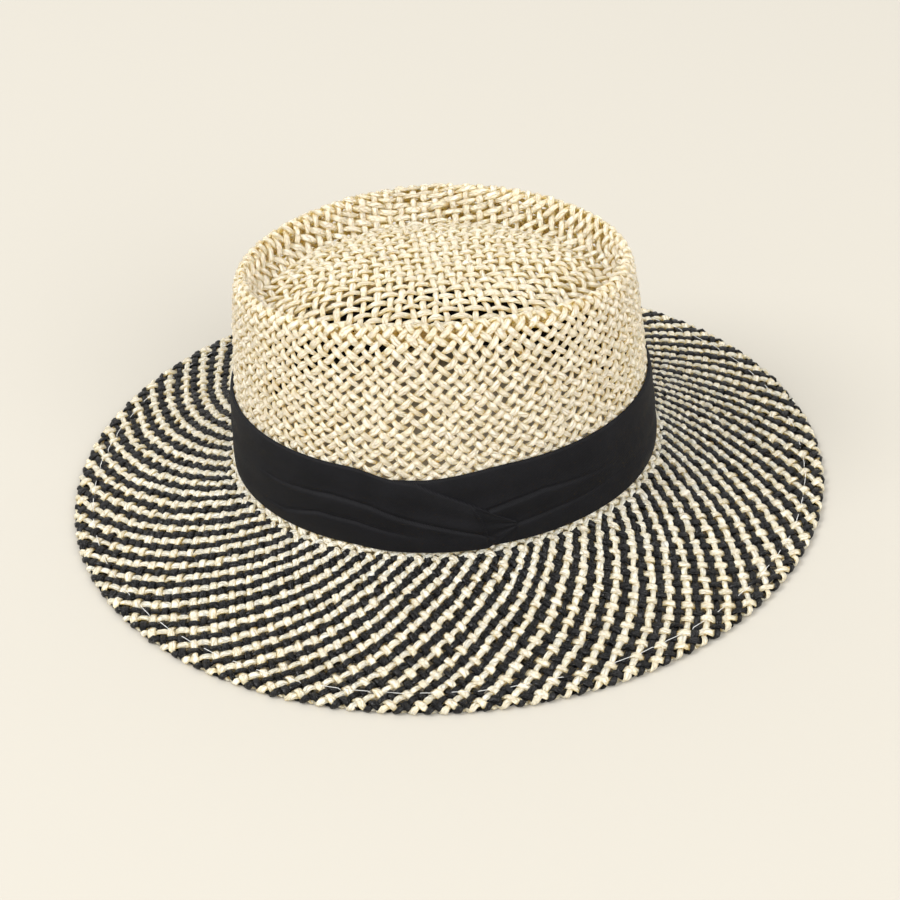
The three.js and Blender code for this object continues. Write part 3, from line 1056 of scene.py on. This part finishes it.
# The weave.
crown_groups = [Strands("crown_strands_" + side) for side in ("back", "front", "left", "right")]
brim_groups = [Strands("brim_natural_" + way) for way in ("left", "right")]
black_groups = [Strands("brim_black_" + part) for part in ("a", "b")]
weave_natural(crown_groups, brim_groups)
weave_black(black_groups)
for number, group in enumerate(crown_groups):
    group.build(natural_straw, slot="natural_straw", stands_for="crown" if number == 0 else None)
for number, group in enumerate(brim_groups):
    group.build(natural_straw, slot="natural_straw", stands_for="brim" if number == 0 else None)
for group in black_groups:
    group.build(black_straw, slot="two_tone_straw")

# Band, sweatband and stitches.
band = sweep(
    "band_cloth", *band_surface(), closed=False, material=twill, slot="band_twill", stands_for="hat_band"
)
sweep(
    "sweat_strip", *sweatband_surface(), closed=True, material=tape, slot="sweat_tape", stands_for="sweatband"
)
hem_stitches = Strands("hem_stitches", THREAD_SIDES)
sew_hem(hem_stitches)
hem_stitches.build(nylon, slot="two_tone_straw")
sweat_stitches = Strands("sweat_stitches", THREAD_SIDES)
sew_sweatband(sweat_stitches)
sweat_stitches.build(black_thread, slot="sweat_tape")


# Floor, light and camera.
def add_floor():
    bpy.ops.mesh.primitive_circle_add(vertices=FLOOR_SIDES, radius=FLOOR_RADIUS, fill_type="NGON")
    floor = bpy.context.object
    floor.name = "floor"
    material, tree, shader = new_material("floor")
    shader.inputs["Base Color"].default_value = (*FLOOR_COLOUR, 1)
    shader.inputs["Roughness"].default_value = 0.9
    floor.data.materials.append(material)


def add_light(name, position, size, power, colour):
    """A round soft light that faces the hat."""
    light = bpy.data.lights.new(name, "AREA")
    light.shape = "DISK"
    light.size = size
    light.energy = power
    light.color = colour
    lamp = bpy.data.objects.new(name, light)
    bpy.context.scene.collection.objects.link(lamp)
    lamp.location = position
    aim = Vector((0, 0, LIGHT_AIM_HEIGHT)) - Vector(position)
    lamp.rotation_euler = aim.to_track_quat("-Z", "Y").to_euler()


def add_world():
    world = bpy.data.worlds.new("studio")
    world.use_nodes = True
    background = world.node_tree.nodes["Background"]
    background.inputs["Color"].default_value = (*WORLD_COLOUR, 1)
    background.inputs["Strength"].default_value = WORLD_STRENGTH
    bpy.context.scene.world = world


def add_camera():
    azimuth = math.radians(CAMERA_AZIMUTH)
    elevation = math.radians(CAMERA_ELEVATION)
    roll = math.radians(-CAMERA_ROLL)
    right = Vector((math.cos(azimuth), math.sin(azimuth), 0))
    level = Vector((-math.sin(azimuth), math.cos(azimuth), 0))
    forward = level * math.cos(elevation) - Vector((0, 0, math.sin(elevation)))
    upward = right.cross(forward)
    turned_right = right * math.cos(roll) + upward * math.sin(roll)
    turned_up = upward * math.cos(roll) - right * math.sin(roll)
    position = right * CAMERA_SIDE_SHIFT + upward * CAMERA_RISE - forward * CAMERA_DISTANCE
    lens = bpy.data.cameras.new("camera")
    lens.sensor_width = SENSOR_WIDTH
    lens.lens = LENS
    camera = bpy.data.objects.new("camera", lens)
    bpy.context.scene.collection.objects.link(camera)
    axes = Matrix((turned_right, turned_up, -forward)).transposed().to_4x4()
    camera.matrix_world = Matrix.Translation(position) @ axes
    bpy.context.scene.camera = camera


bpy.context.scene.view_settings.view_transform = "Standard"
add_floor()
add_world()
add_light("key", position=(-3.2, -1.1, 3.8), size=2.8, power=236, colour=(1, 0.985, 0.955))
add_light("fill", position=(2.5, -3.3, 2.6), size=3.8, power=180, colour=(1, 0.99, 0.965))
add_camera()
